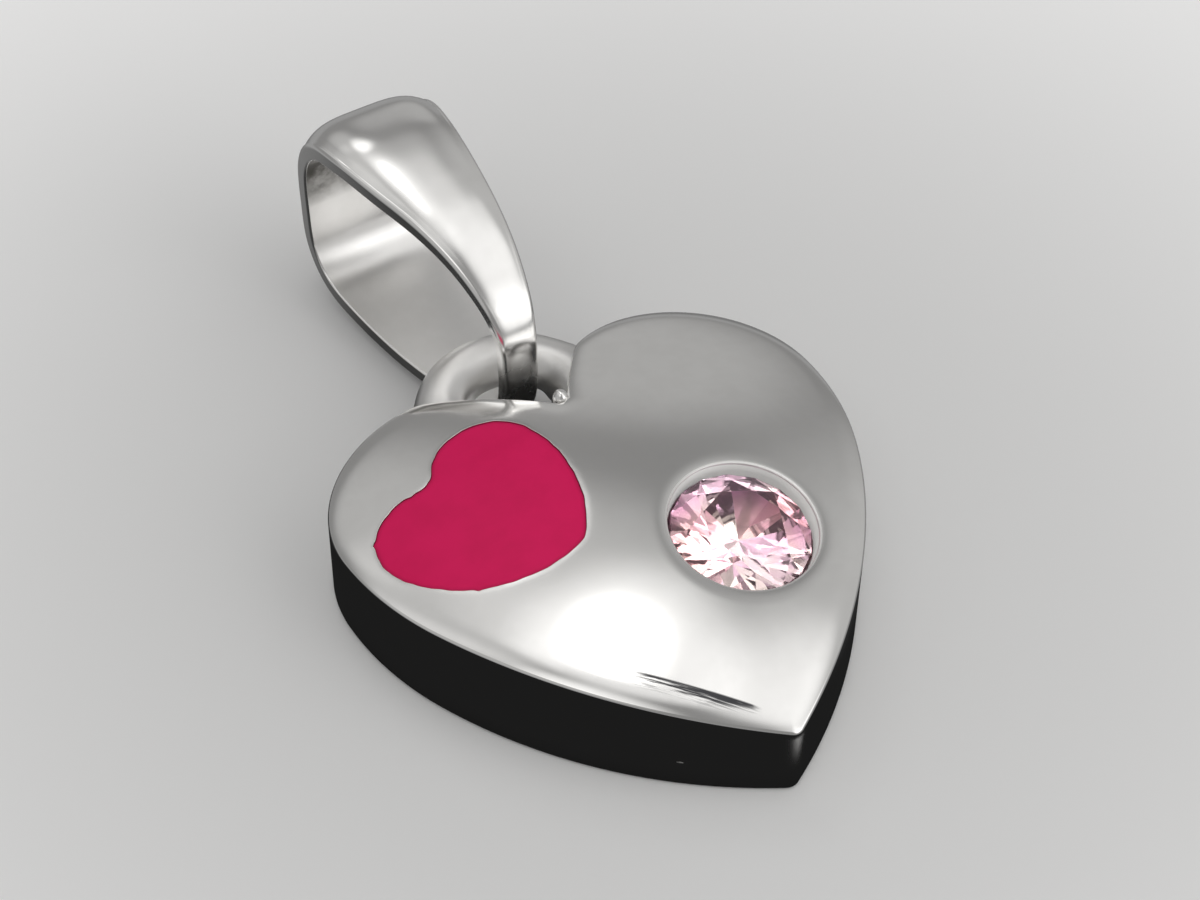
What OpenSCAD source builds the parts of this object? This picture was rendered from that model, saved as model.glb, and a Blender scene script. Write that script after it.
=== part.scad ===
// Silver heart pendant lying on its flat back: a cast heart with a soldered eyelet,
// an enamel heart and a round stone set in its domed face, and a folded bail.
// The origin is on the back face, midway across the heart, close to its widest place.
// +X runs across the heart, +Y towards the bail, +Z out of the domed face.

/* [Heart body] */
// Width of the heart across both lobes
heart_w = 11.76; // [10.8:0.02:12.8]
// Radius of the outer side of each lobe
lobe_r = 2.97; // [2.8:0.01:3.1]
// Place of the lobes' centres above the origin
lobe_y = 0.18; // [0:0.02:0.4]
// Radius at which each lobe turns down into the notch
inner_r = 1.07; // [0.95:0.01:1.3]
// Angle at which the left lobe starts to turn down into the notch, degrees
left_turn = 92; // [86:1:98]
// Angle at which the left lobe has turned into the notch's side, degrees
left_side = 126; // [123:1:130]
// Angle at which the fuller right lobe starts to turn down into the notch, degrees
right_turn = 118; // [110:1:120]
// Angle at which the right lobe has turned into the notch's side, degrees
right_side = 140; // [136:1:143]
// Radius of the shoulder that follows each lobe
shoulder_r = 7; // [6:0.1:8]
// Angle below the lobe's side at which the shoulder ends, degrees
shoulder_end = 24.5; // [20:0.5:28]
// Radius of the flank that runs down to the tip
flank_r = 12; // [11.4:0.1:13.4]
// Radius that rounds off the tip
tip_r = 0.3; // [0.2:0.05:0.5]
// Radius at the bottom of the notch between the lobes
notch_r = 0.15; // [0.1:0.05:0.3]
// Thickness at the highest point of the domed face
body_h = 3.42; // [3.3:0.02:3.8]
// Radius of the domed face
dome_r = 16.5; // [15:0.5:20]
// Place of the dome's highest point below the origin
dome_drop = 1.45; // [1:0.05:2]

/* [Eyelet] */
// Radius of the eyelet's wire
wire_r = 0.6; // [0.55:0.01:0.62]
// Radius of the eyelet along the middle of its wire
eyelet_r = 1.66; // [1.62:0.01:1.7]
// Place of the eyelet's centre across the heart, a little left of the middle
eyelet_x = -0.33; // [-0.4:0.01:-0.2]
// Place of the eyelet's centre above the origin
eyelet_y = 2.53; // [2.5:0.01:2.6]
// Height of the eyelet's middle above the back
eyelet_z = 1.65; // [1.6:0.05:1.7]
// Radius of the solder that fills the foot of the eyelet
solder_r = 0.65; // [0.6:0.01:0.7]
// Place of the solder's middle across the heart
solder_x = 0.43; // [0.3:0.01:0.5]
// Place of the solder's middle above the origin
solder_y = 1.4; // [1.2:0.05:1.5]
// Height of the solder's middle above the back
solder_z = 1.75; // [1.6:0.05:1.9]

/* [Enamel heart] */
// Place of the enamel heart's middle across the heart
enamel_x = -3.2; // [-3.3:0.02:-3]
// Place of the enamel heart's middle above the origin
enamel_y = -0.36; // [-0.6:0.02:-0.2]
// Turn of the enamel heart in the face, degrees
enamel_turn = 34.5; // [28:0.5:38]
// Depth of the enamel's bed below the face
enamel_depth = 0.5; // [0.4:0.05:0.8]
// How far the enamel stays below the face
enamel_sink = 0.05; // [0.03:0.01:0.1]
// Radius that rounds off the enamel heart's tip
enamel_tip_r = 0.25; // [0.15:0.01:0.3]
// Radius at the bottom of the enamel heart's notch
enamel_notch_r = 0.56; // [0.3:0.02:0.6]

/* [Stone] */
// Place of the stone's middle across the heart
stone_x = 1.51; // [1.3:0.01:1.7]
// Place of the stone's middle above the origin
stone_y = -3.9; // [-4.1:0.02:-3.6]
// Diameter of the stone at its girdle
stone_d = 3.08; // [2.8:0.02:3.1]
// Diameter of the seat's mouth in the face
seat_d = 3.26; // [3.22:0.02:3.3]
// How far the stone's table stays below the face
stone_sink = 0.03; // [0.02:0.01:0.12]
// Diameter of the table, as a share of the stone's diameter
table_share = 0.58; // [0.53:0.01:0.64]
// Height of the crown, as a share of the stone's diameter
crown_share = 0.12; // [0.1:0.01:0.16]
// Depth of the pavilion, as a share of the stone's diameter
pavilion_share = 0.4; // [0.36:0.01:0.43]

/* [Bail] */
// Place of the bail's middle across the heart
bail_x = -0.07; // [-0.15:0.01:0]
// Thickness of the bail's band along its edges
band_edge = 0.3; // [0.28:0.01:0.32]
// Height of the band's outward crown where it is widest, as a share of that width
band_crown = 0.14; // [0.08:0.01:0.15]

/* [Fit] */
// Gap left round the enamel and the stone
gap = 0.03; // [0.02:0.01:0.05]

/* [Hidden] */

// Steps along each arc of an outline, and round the turned surfaces
arc_steps = 14;
turned_steps = 180;
wire_steps = 48;
seat_steps = 96;

// Arcs of each half of the heart from the notch on, each row [radius, angle at which it ends]
notch_side_r = 14;
function lobe_arcs(turn, side) = [
    [notch_side_r, side],
    [inner_r, turn],
    [lobe_r, 0],
    [shoulder_r, -shoulder_end],
    [flank_r, -90]
];
// Centre of the first of these arcs, found back from the centre of the lobe
function notch_side_c(turn, side) =
    [heart_w / 2 - lobe_r, lobe_y]
    + (lobe_r - inner_r) * [cos(turn), sin(turn)]
    + (inner_r - notch_side_r) * [cos(side), sin(side)];

// The enamel heart's halves differ a little, as hand filling leaves them
enamel_right_lobe = [1.17, 0];
enamel_right_arcs = [[1.255, -18.4], [3.76, -90]];
enamel_left_lobe = [0.885, 0.37];
enamel_left_arcs = [[1.2, 13.9], [2.83, -90]];

// The bail's inner face from the bottom bend up the front leg, round the fold
// and back along the lower leg, each row [along Y, height, width of the band]
bail_rows = [
    [2.98, 2.9, 0.92],
    [3.08, 3.6, 0.96],
    [3.48, 4.2, 1.2],
    [4.35, 4.7, 1.58],
    [5.5, 4.91, 2.02],
    [7.0, 4.87, 2.56],
    [8.4, 4.76, 2.97],
    [9.35, 4.5, 3.16],
    [9.85, 3.75, 3.2],
    [9.88, 2.5, 3.2],
    [9.74, 1.45, 3.18],
    [9.15, 0.83, 3.08],
    [8.0, 0.66, 2.85],
    [6.5, 0.6, 2.4],
    [5.2, 0.64, 1.86],
    [4.2, 0.74, 1.34],
    [3.5, 1.0, 1.0],
    [3.08, 1.58, 0.92],
    [2.97, 2.25, 0.9]
];
// Rings of the swept band between two rows, and where its section has points:
// each row [share of the half width, share of the edge's thickness, share of the crown]
bail_steps = 5;
band_section = [
    [-1, 0.12, 0], [-1, 0.7, 0], [-0.93, 1, 0.14], [-0.62, 1, 0.62], [-0.22, 1, 0.95],
    [0.22, 1, 0.95], [0.62, 1, 0.62], [0.93, 1, 0.14], [1, 0.7, 0], [1, 0.12, 0],
    [0.94, 0, 0], [0.35, 0, 0], [-0.35, 0, 0], [-0.94, 0, 0]
];

// Facets of the stone: its eight main facets and the sizes that follow from them
mains = 8;
girdle_share = 0.03;
star_share = 0.78;
lower_share = 0.24;

enamel_at = [enamel_x, enamel_y];
stone_at = [stone_x, stone_y];

// Middle of the dome's ball, and a height that is clear above the whole heart
dome_c = [0, -dome_drop, body_h - dome_r];
above = body_h + 2;

// Width of the pit under the stone's point, and how much wider the seat's cone is than the stone
seat_point_d = 0.5;
seat_ease = 3 * gap;
// Turn of the stone about its own axis, degrees
stone_turn = 15;

// Outlines

function ray(a) = [cos(a), sin(a)];
function arc(c, r, a0, a1) = [for (i = [0 : arc_steps]) c + r * ray(a0 + (a1 - a0) * i / arc_steps)];

// Centre of arc number i in a run of arcs that touch each other
function arc_centre(c, arcs, i) =
    i == 0 ? c : arc_centre(c, arcs, i - 1) + (arcs[i - 1][0] - arcs[i][0]) * ray(arcs[i - 1][1]);

// Centre of the arc of radius r that rounds off the notch between two lobes
function notch_centre(right, right_r, left, left_r, r) =
    let (
        span = left - right,
        far = norm(span),
        along = (pow(far, 2) + pow(right_r + r, 2) - pow(left_r + r, 2)) / (2 * far),
        up = sqrt(pow(right_r + r, 2) - pow(along, 2))
    )
    right + (along * span + up * [span.y, -span.x]) / far;

// Half of a heart from its notch, over the lobe and down the side to the rounded tip
function half_heart(lobe, arcs, round_r, notch) =
    let (
        last = len(arcs) - 1,
        c = arc_centre(lobe, arcs, last),
        tip_y = c.y - sqrt(pow(arcs[last][0] - round_r, 2) - pow(c.x, 2)),
        tip_a = atan2(tip_y - c.y, -c.x)
    )
    [
        for (i = [0 : last])
            let (
                from = i == 0 ? turn_to(lobe, notch) : arcs[i - 1][1],
                to = i == last ? tip_a : arcs[i][1]
            )
            each slice(arc(arc_centre(lobe, arcs, i), arcs[i][0], from, to), i == 0 ? 0 : 1),
        each slice(arc([0, tip_y], round_r, tip_a, -90), 1)
    ];

function turn_to(from, to) = atan2(to.y - from.y, to.x - from.x);
function full_turn(a) = a < 0 ? a + 360 : a;
function slice(list, first) = [for (i = [first : len(list) - 1]) list[i]];
function flipped(list) = [for (i = [len(list) - 2 : -1 : 0]) [-list[i].x, list[i].y]];

// A whole heart: both halves, and the arc of radius r in the notch between them
function heart(right, right_arcs, left, left_arcs, round_r, r) =
    let (
        left_at = [-left.x, left.y],
        n = notch_centre(right, right_arcs[0][0], left_at, left_arcs[0][0], r),
        bottom = arc(n, r, full_turn(turn_to(n, left_at)), full_turn(turn_to(n, right)))
    )
    concat(
        half_heart(right, right_arcs, round_r, n),
        flipped(half_heart(left, left_arcs, round_r, [-n.x, n.y])),
        [for (i = [1 : len(bottom) - 2]) bottom[i]]
    );
function heart_outline() =
    heart(
        notch_side_c(right_turn, right_side), lobe_arcs(right_turn, right_side),
        notch_side_c(left_turn, left_side), lobe_arcs(left_turn, left_side),
        tip_r, notch_r
    );

// The enamel heart's outline moved inwards by the given amount: every arc keeps its centre
function tightened(arcs, by) = [for (a = arcs) [a[0] - by, a[1]]];
function enamel_outline(by) =
    heart(
        enamel_right_lobe, tightened(enamel_right_arcs, by),
        enamel_left_lobe, tightened(enamel_left_arcs, by),
        enamel_tip_r - by, enamel_notch_r + by
    );

// Height of the domed face at a place, and the direction that it faces there
function dome_z(p) = dome_c.z + sqrt(pow(dome_r, 2) - pow(p.x, 2) - pow(p.y - dome_c.y, 2));
function dome_normal(p) = ([p.x, p.y, dome_z(p)] - dome_c) / dome_r;

// A ball concentric with the domed face, deeper than it by the given amount
module dome_ball(depth = 0) {
    translate(dome_c) sphere(dome_r - depth, $fn = turned_steps);
}

// Heart body

module heart_block() {
    intersection() {
        linear_extrude(above) polygon(heart_outline());
        dome_ball();
    }
}

// Soldered eyelet in the notch between the lobes, with the solder at its foot
module eyelet() {
    translate([eyelet_x, eyelet_y, eyelet_z])
        rotate_extrude($fn = turned_steps)
            translate([eyelet_r, 0]) circle(wire_r, $fn = wire_steps);
    translate([solder_x, solder_y, solder_z]) sphere(solder_r, $fn = wire_steps);
}

// A column with the outline of the enamel's bed, moved inwards by the given amount
module enamel_column(by) {
    translate([enamel_at.x, enamel_at.y, 0])
        rotate(enamel_turn)
            linear_extrude(above) polygon(enamel_outline(by));
}

module enamel_bed() {
    difference() {
        enamel_column(0);
        dome_ball(enamel_depth);
    }
}

// Puts its children at the stone's place with +Z along the dome's direction there
module at_stone() {
    n = dome_normal(stone_at);
    translate([stone_at.x, stone_at.y, dome_z(stone_at)])
        rotate([0, acos(n.z), atan2(n.y, n.x)])
            children();
}

// Seat of the stone: a straight mouth, then a cone that follows the pavilion
module stone_seat() {
    seat_floor = stone_sink + stone_d * (crown_share + girdle_share) + gap;
    cone_h = stone_d * pavilion_share + gap;
    at_stone() {
        translate([0, 0, -seat_floor]) cylinder(h = above, d = seat_d, $fn = seat_steps);
        translate([0, 0, -seat_floor - cone_h])
            cylinder(h = cone_h, d1 = seat_point_d, d2 = stone_d + seat_ease, $fn = seat_steps);
    }
}

module heart_body() {
    color("silver")
        difference() {
            union() {
                heart_block();
                eyelet();
            }
            enamel_bed();
            stone_seat();
        }
}

// Enamel

module enamel_heart() {
    color("crimson")
        intersection() {
            difference() {
                enamel_column(gap);
                dome_ball(enamel_depth - gap);
            }
            dome_ball(enamel_sink);
        }
}

// Stone

// Brilliant cut with its girdle at z = 0: table, crown, girdle, pavilion and culet
function stone_ring(r, z, turn, count) =
    [for (i = [0 : count - 1]) [r * cos((i + turn) * 360 / count), r * sin((i + turn) * 360 / count), z]];
// Radius, measured in a main facet's own direction, of a point half a facet aside
function aside(r) = r * cos(180 / mains);

module brilliant(r, crown, girdle, pavilion) {
    table_r = r * table_share;
    star_r = r * star_share;
    lower_r = r * lower_share;
    top = girdle / 2;
    star_z = top + crown * (r - aside(star_r)) / (r - table_r);
    lower_z = -top - pavilion * (1 - aside(lower_r) / r);
    points = concat(
        stone_ring(table_r, top + crown, 0, mains),
        stone_ring(star_r, star_z, 0.5, mains),
        stone_ring(r, top, 0, 2 * mains),
        stone_ring(r, -top, 0, 2 * mains),
        stone_ring(lower_r, lower_z, 0.5, mains),
        [[0, 0, -top - pavilion]]
    );
    star = mains;
    upper = 2 * mains;
    under = 4 * mains;
    lower = 6 * mains;
    culet = 7 * mains;
    faces = [
        [for (i = [mains - 1 : -1 : 0]) i],
        for (i = [0 : mains - 1])
            let (
                j = (i + 1) % mains,
                h = (i + mains - 1) % mains,
                g = 2 * i,
                g1 = g + 1,
                g2 = (g + 2) % (2 * mains)
            )
            each [
                [i, j, star + i],
                [i, star + i, upper + g, star + h],
                [star + i, upper + g1, upper + g],
                [star + i, upper + g2, upper + g1],
                [upper + g, upper + g1, under + g1, under + g],
                [upper + g1, upper + g2, under + g2, under + g1],
                [under + g, under + g1, lower + i],
                [under + g1, under + g2, lower + i],
                [under + g, lower + i, culet, lower + h]
            ]
    ];
    polyhedron(points, faces, convexity = 4);
}

module pink_stone() {
    crown = stone_d * crown_share;
    girdle = stone_d * girdle_share;
    color("pink")
        at_stone()
            translate([0, 0, -stone_sink - crown - girdle / 2])
                rotate(stone_turn)
                    brilliant(stone_d / 2, crown, girdle, stone_d * pavilion_share);
}

// Bail

// Smooth closed curve through the rows: the value at row i and share t of the way on
function row_at(i) = bail_rows[(i + len(bail_rows)) % len(bail_rows)];
function through(i, t) =
    let (a = row_at(i - 1), b = row_at(i), c = row_at(i + 1), d = row_at(i + 2))
    b + 0.5 * t * ((c - a) + t * ((2 * a - 5 * b + 4 * c - d) + t * (3 * b - a - 3 * c + d)));

// Widest place of the band: its section has the same curve all the way, so the crown
// falls off with the square of the width
band_widest = max([for (r = bail_rows) r.z]);
function crown_h(width) = band_crown * width * width / band_widest;

bail_path = [for (i = [0 : len(bail_rows) - 1]) for (k = [0 : bail_steps - 1]) through(i, k / bail_steps)];

// Outward direction of the band at ring i, in the YZ plane
function band_out(i) =
    let (
        n = len(bail_path),
        d = bail_path[(i + 1) % n] - bail_path[(i + n - 1) % n]
    )
    [-d.y, d.x] / norm([d.x, d.y]);

module bail() {
    rings = len(bail_path);
    sides = len(band_section);
    points = [
        for (i = [0 : rings - 1]) for (s = band_section)
            let (
                p = bail_path[i],
                out = band_out(i),
                lift = s[1] * band_edge + s[2] * crown_h(p.z)
            )
            [bail_x + s[0] * p.z / 2, p.x + out.x * lift, p.y + out.y * lift]
    ];
    faces = [
        for (i = [0 : rings - 1]) for (k = [0 : sides - 1])
            let (
                j = (i + 1) % rings,
                m = (k + 1) % sides
            )
            each [
                [i * sides + k, i * sides + m, j * sides + m],
                [i * sides + k, j * sides + m, j * sides + k]
            ]
    ];
    color("gainsboro") polyhedron(points, faces, convexity = 6);
}

heart_body();
enamel_heart();
pink_stone();
bail();
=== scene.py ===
# Heart pendant: the looks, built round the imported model.
# Shapes are computed in millimetres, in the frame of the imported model, and scaled to metres.
import math

import bpy
import numpy as np
from mathutils import Matrix, Vector
from mathutils.geometry import delaunay_2d_cdt
from mathutils.kdtree import KDTree


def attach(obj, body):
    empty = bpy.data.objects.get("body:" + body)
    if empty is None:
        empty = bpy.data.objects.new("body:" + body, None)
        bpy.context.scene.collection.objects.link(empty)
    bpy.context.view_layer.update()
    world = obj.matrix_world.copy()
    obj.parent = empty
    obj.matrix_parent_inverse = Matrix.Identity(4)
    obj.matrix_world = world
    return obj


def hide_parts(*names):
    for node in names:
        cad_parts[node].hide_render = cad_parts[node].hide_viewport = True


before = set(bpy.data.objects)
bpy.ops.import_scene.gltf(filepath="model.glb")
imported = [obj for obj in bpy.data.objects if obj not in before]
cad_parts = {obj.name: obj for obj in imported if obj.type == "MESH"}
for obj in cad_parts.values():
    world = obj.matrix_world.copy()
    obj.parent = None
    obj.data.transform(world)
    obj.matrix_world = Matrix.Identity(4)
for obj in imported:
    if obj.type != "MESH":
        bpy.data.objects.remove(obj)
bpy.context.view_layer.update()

MM = 0.001
UP = np.array([0.0, 0.0, 1.0])

# Heart outline: each half is a run of arcs that touch each other
HEART_W = 11.76
LOBE_R = 2.97
LOBE_Y = 0.18
INNER_R = 1.07
NOTCH_SIDE_R = 14.0
LEFT_TURN, LEFT_SIDE = 92.0, 126.0
RIGHT_TURN, RIGHT_SIDE = 118.0, 140.0
SHOULDER_R, SHOULDER_END = 7.0, 24.5
FLANK_R = 12.0
TIP_R = 0.3
NOTCH_R = 0.15

# Domed face
BODY_H = 3.42
DOME_R = 16.5
DOME_C = np.array([0.0, -1.45, BODY_H - DOME_R])

# Eyelet and the solder at its foot, with the bright bead of it in the notch
WIRE_R = 0.6
EYELET_R = 1.66
EYELET_C = np.array([-0.33, 2.53, 1.65])
SOLDER_C = np.array([0.43, 1.4, 1.75])
SOLDER_R = 0.65 * np.array([1.0, 1.02, 1.08])
BEAD_C = np.array([0.08, 1.24, 2.97])
BEAD_R = np.array([0.19, 0.21, 0.3])

# Enamel heart and its bed
ENAMEL_C = np.array([-3.2, -0.36])
ENAMEL_TURN = 34.5
ENAMEL_RIGHT = (np.array([1.17, 0.0]), [(1.255, -18.4), (3.76, -90.0)])
ENAMEL_LEFT = (np.array([0.885, 0.37]), [(1.2, 13.9), (2.83, -90.0)])
ENAMEL_TIP_R = 0.25
ENAMEL_NOTCH_R = 0.56
BED_DEPTH = 0.5
ENAMEL_SINK = 0.018
ENAMEL_GAP = 0.004
ENAMEL_FOOT = 0.03
# Slow wander of the enamel's edge, rows of [depth, waves round the heart, start]
WANDER = [[0.007, 9, 0.6], [0.005, 23, 2.1], [0.003, 41, 0.0]]
# Nicks in the enamel's edge, rows of [x, y, width, how far outwards]
NICKS = [
    [-5.17, 0.02, 0.06, 0.045], [-3.99, 0.66, 0.08, -0.035],
    [-4.05, -2.38, 0.06, 0.035], [-2.9, -2.55, 0.1, 0.02],
]

# Stone and its seat. The seat's wall leans in a little, which lights the crescent beside the stone.
STONE_AT = np.array([1.51, -3.9])
STONE_D = 3.08
STONE_SINK = 0.03
STONE_SPIN = 15
CROWN = 0.12 * STONE_D
GIRDLE = 0.03 * STONE_D
PAVILION = 0.4 * STONE_D
MAINS = 8
TABLE_SHARE, STAR_SHARE, LOWER_SHARE = 0.58, 0.78, 0.24
SEAT_D = 3.26
SEAT_GAP = 0.03
SEAT_LEAN = 0.055
SEAT_POINT_D = 0.5

# Bail: the inner face of the band, rows of [along Y, height, width]
BAIL_X = -0.07
BAIL_ROWS = np.array([
    [2.98, 2.9, 0.92], [3.08, 3.6, 0.96], [3.48, 4.2, 1.2], [4.35, 4.7, 1.58],
    [5.5, 4.91, 2.02], [7.0, 4.87, 2.56], [8.4, 4.76, 2.97], [9.35, 4.5, 3.16],
    [9.85, 3.75, 3.2], [9.88, 2.5, 3.2], [9.74, 1.45, 3.18], [9.15, 0.83, 3.08],
    [8.0, 0.66, 2.85], [6.5, 0.6, 2.4], [5.2, 0.64, 1.86], [4.2, 0.74, 1.34],
    [3.5, 1.0, 1.0], [3.08, 1.58, 0.92], [2.97, 2.25, 0.9],
])
BAIL_EDGE = 0.3
BAIL_CROWN = 0.14
BAIL_OUTER_R, BAIL_INNER_R = 0.13, 0.06
# Points of the band's section: the one midway across its outside, and those that count as its inside
BAND_MIDDLE = 12
BAND_INSIDE = slice(35, 50)
# Lean of the shading on the front leg's outside, rows of [along Y, degrees towards the heart's tip]
LEG_LEAN = np.array([[3.4, 0], [4.4, 9], [5.4, 16], [6.4, 19], [7.1, 16], [7.9, 11], [8.7, 0]])
# Height above which the band belongs to the front leg, where its foot ends, and the place of the fold
LEG_Z, LEG_FOOT_Y = 3.3, 3.4
FOLD_Y, FOLD_Z = 9.9, 2.6
# Length over which one part of the band's finish passes into the next
BLEND = 0.6

# Rounding of an edge: radius of the edge itself, then reach and depth of the soft roll beside it
RIM = (0.05, 0.55, 0.06)
BED_EDGE = (0.01, 0.2, 0.003)
SEAT_EDGE = (0.03, 0.42, 0.05)
ENAMEL_EDGE = (0.012, 0.35, 0.012)
FOOT_R = 0.08

# Marks, from 0 to 1, of the places that are darkened, and how far they reach from an edge: tarnish and dark
# joints in the hollows, darkening towards the wall's foot and on the back, and painted shade in the bail's
# fold and at its front leg's foot
MARK_REACH = 0.05
MARK_BED_EDGE, MARK_BED, MARK_ENAMEL_EDGE = 0.35, 1.0, 0.4
MARK_WALL, MARK_FOOT, MARK_BACK = 0.25, 0.6, 0.3
MARK_EYELET, MARK_SOLDER, MARK_FOLD_SHADE, MARK_BAND_FOOT_SHADE = 0.3, 0.1, 1.0, 0.6
# How far each surface is from a full polish, which adds to its roughness
SATIN_EYELET, SATIN_SOLDER, SATIN_BEAD, SATIN_TIP = 0.26, 0.2, 0.1, 0.55
SATIN_SEAT_EDGE, SATIN_SEAT_WALL, SATIN_SEAT_FLOOR = 0.45, 0.5, 0.2
SATIN_BAND, SATIN_BAND_INSIDE, SATIN_BAND_DEEP = 0.05, 0.17, 0.1

# Fineness of the meshes: spacing along an outline, and of the points inside each surface
STEP = 0.06
FACE_PITCH, ENAMEL_PITCH, BED_PITCH, BACK_PITCH = 0.14, 0.16, 0.3, 0.5
STONE_SEED = 5
# Points that are compared with a line at a time
CHUNK = 2000


def unit(v):
    """Each row of v at length 1."""
    return v / np.linalg.norm(v, axis=-1, keepdims=True)


def ray(degrees):
    """Direction in plan at an angle."""
    a = np.radians(degrees)
    return np.stack([np.cos(a), np.sin(a)], -1)


def level(directions):
    """Directions in plan as level directions in space."""
    return np.column_stack([directions, np.zeros(len(directions))])


def arc(c, r, a0, a1):
    """Points of an arc and the direction from its centre at each of them."""
    steps = max(4, round(abs(r * math.radians(a1 - a0)) / STEP))
    out = ray(np.linspace(a0, a1, steps + 1))
    return c + r * out, out


def turn_to(a, b):
    """Angle in plan of the way from one point to another, in degrees."""
    return math.degrees(math.atan2(b[1] - a[1], b[0] - a[0]))


def half_heart(lobe, arcs, tip_r, notch):
    """One half of a heart, from its notch over the lobe down to the tip.
    Its arcs are rows of [radius, end angle]."""
    c, points, out = np.array(lobe), [], []
    start = turn_to(lobe, notch)
    for k, (r, end) in enumerate(arcs):
        if k == len(arcs) - 1:
            tip = np.array([0.0, c[1] - math.sqrt((r - tip_r) ** 2 - c[0] ** 2)])
            end = math.degrees(math.atan2(tip[1] - c[1], -c[0]))
        p, o = arc(c, r, start, end)
        points.append(p[1:])
        out.append(o[1:])
        if k < len(arcs) - 1:
            c = c + (r - arcs[k + 1][0]) * ray(end)
        start = end
    p, o = arc(tip, tip_r, start, -90)
    return np.concatenate(points + [p[1:]]), np.concatenate(out + [o[1:]])


def heart(right, right_arcs, left, left_arcs, tip_r, notch_r):
    """Closed outline of a heart, anticlockwise, and its outward direction at each point."""
    left_at = np.array([-left[0], left[1]])
    span = left_at - right
    far = np.linalg.norm(span)
    r1, r2 = right_arcs[0][0] + notch_r, left_arcs[0][0] + notch_r
    along = (far ** 2 + r1 ** 2 - r2 ** 2) / (2 * far)
    up = math.sqrt(r1 ** 2 - along ** 2)
    notch = right + (along * span + up * np.array([span[1], -span[0]])) / far
    bottom, b_out = arc(notch, notch_r, turn_to(notch, left_at) % 360, turn_to(notch, right) % 360)
    pr, outr = half_heart(right, right_arcs, tip_r, notch)
    pl, outl = half_heart(left, left_arcs, tip_r, np.array([-notch[0], notch[1]]))
    flip = np.array([-1, 1])
    points = np.concatenate([pr, (pl * flip)[-2::-1], bottom])
    out = np.concatenate([outr, (outl * flip)[-2::-1], -b_out])
    # The run goes clockwise, from the notch down the right half
    return points[::-1].copy(), out[::-1].copy()


def lobe_half(turn, side):
    """Centre of the notch's side and the arcs that follow it, for one half of the body."""
    c = np.array([HEART_W / 2 - LOBE_R, LOBE_Y])
    c = c + (LOBE_R - INNER_R) * ray(turn) + (INNER_R - NOTCH_SIDE_R) * ray(side)
    top = [(NOTCH_SIDE_R, side), (INNER_R, turn), (LOBE_R, 0.0)]
    return c, top + [(SHOULDER_R, -SHOULDER_END), (FLANK_R, -90.0)]


def body_outline():
    """Outline of the heart's body."""
    return heart(*lobe_half(RIGHT_TURN, RIGHT_SIDE), *lobe_half(LEFT_TURN, LEFT_SIDE), TIP_R, NOTCH_R)


def enamel_outline():
    """Outline of the enamel's bed, before the marks of the hand that filled it."""
    p, out = heart(*ENAMEL_RIGHT, *ENAMEL_LEFT, ENAMEL_TIP_R, ENAMEL_NOTCH_R)
    x, y = ray(ENAMEL_TURN), ray(ENAMEL_TURN + 90)
    return ENAMEL_C + p[:, :1] * x + p[:, 1:] * y, out[:, :1] * x + out[:, 1:] * y


def handmade(line, out):
    """The enamel's edge as it was filled by hand: it wanders a little and has a few small nicks."""
    turn = np.arctan2(*(line - ENAMEL_C).T[::-1])
    move = np.zeros(len(line))
    for depth, waves, start in WANDER:
        move = move + depth * np.sin(waves * turn + start)
    for x, y, width, depth in NICKS:
        away = np.hypot(line[:, 0] - x, line[:, 1] - y)
        move = move + depth * np.exp(-(away / width) ** 2)
    return line + move[:, None] * out


BODY_LINE, BODY_OUT = body_outline()
BED_LINE, BED_OUT = enamel_outline()
BED_LINE = handmade(BED_LINE, BED_OUT)
ENAMEL_LINE = BED_LINE - ENAMEL_GAP * BED_OUT


def nearest(p, line, out):
    """How far inside a closed line each point is, and the line's outward direction beside it."""
    d, o = np.empty(len(p)), np.empty((len(p), 2))
    for i in range(0, len(p), CHUNK):
        part = p[i:i + CHUNK]
        k = ((part[:, None] - line[None]) ** 2).sum(-1).argmin(1)
        d[i:i + CHUNK] = ((line[k] - part) * out[k]).sum(-1)
        o[i:i + CHUNK] = out[k]
    return d, o


def dome_z(p, depth=0.0):
    """Height of the dome at points in plan, or of a surface at a depth below it."""
    rest = p - DOME_C[:2]
    return DOME_C[2] + np.sqrt((DOME_R - depth) ** 2 - (rest ** 2).sum(-1))


def dome_slope(p):
    """Rise of the dome along X and Y at points in plan."""
    rest = p - DOME_C[:2]
    return -rest / np.sqrt(DOME_R ** 2 - (rest ** 2).sum(-1))[:, None]


def dome_facing(p):
    """Outward direction of the dome at points in plan."""
    return unit(np.column_stack([-dome_slope(p), np.ones(len(p))]))


def edge_drop(d, edge):
    """Drop of the surface at distance d inside an edge, its slope there and the sine of the edge's own
    rounding."""
    r, reach, depth = edge
    t = np.clip(1 - d / reach, 0, 1)
    s = np.clip(1 - d / r, 0, 1)
    return depth * t ** 3 + r * (1 - np.sqrt(1 - s ** 2)), 3 * depth / reach * t ** 2, s


def edge_facing(sine, side, slope):
    """Direction of a sloping surface that rounds off to a side. The sine is that of the rounding's angle."""
    cosine = np.sqrt(1 - sine ** 2)[:, None]
    return unit(np.concatenate([sine[:, None] * side - slope * cosine, cosine], 1))


def face_at(p):
    """Height and direction of the domed face at points in plan."""
    z, slope = dome_z(p), dome_slope(p)
    sine, side = np.zeros(len(p)), np.zeros((len(p), 2))
    for line, out, edge, sign in ((BODY_LINE, BODY_OUT, RIM, 1), (BED_LINE, BED_OUT, BED_EDGE, -1)):
        d, o = nearest(p, line, out)
        drop, rise, s = edge_drop(np.maximum(sign * d, 0), edge)
        z = z - drop
        slope = slope - sign * rise[:, None] * o
        side = np.where((s > sine)[:, None], sign * o, side)
        sine = np.maximum(sine, s)
    return z, edge_facing(sine, side, slope)


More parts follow.
